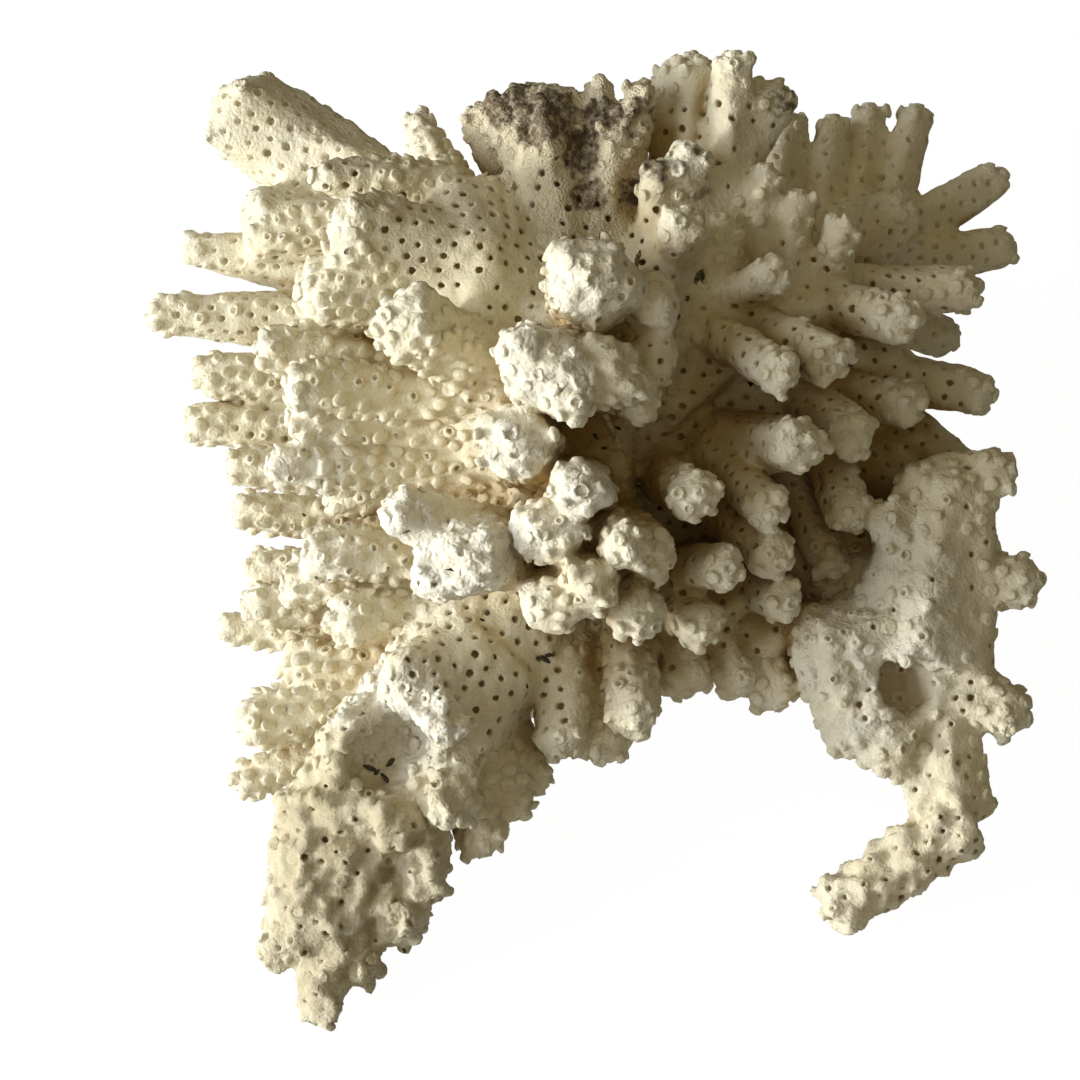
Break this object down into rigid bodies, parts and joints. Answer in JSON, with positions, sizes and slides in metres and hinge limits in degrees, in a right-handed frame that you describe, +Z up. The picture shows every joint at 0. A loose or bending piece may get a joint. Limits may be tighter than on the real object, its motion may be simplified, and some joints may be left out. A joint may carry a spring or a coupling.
{
  "type": "branching coral",
  "caption": "Bushy branching coral skeleton with knobbly fingers on forked limbs, a broken hollow stub and a weathered brown top, cut flat at the foot to stand as a natural ornament",
  "frame": {"origin": "The middle of the flat cut at the foot of the trunk, on the plane the coral rests on", "axes": "Z is up, out of the flat cut; X is to the right and Y to the back, as seen from the side the picture was taken from"},
  "size_m": [0.1342, 0.1401, 0.0857],
  "materials": {
    "cream_skeleton": "chalky, matt and pitted",
    "weathered_skeleton": "chalky, matt, brown stained and eroded"
  },
  "bodies": {
    "root": {"trunk": "cream_skeleton", "lower_right_limb": "cream_skeleton", "rear_limb": "cream_skeleton", "rear_right_limb": "cream_skeleton", "rear_left_limb": "cream_skeleton", "lower_left_leg": "cream_skeleton", "lower_middle_limb": "cream_skeleton", "right_middle_limb": "cream_skeleton", "right_upper_limb": "cream_skeleton", "top_right_limb": "cream_skeleton", "top_limb": "weathered_skeleton", "lower_left_limb": "cream_skeleton", "upper_left_limb": "cream_skeleton", "front_limb": "cream_skeleton"}
  },
  "joints": []
}
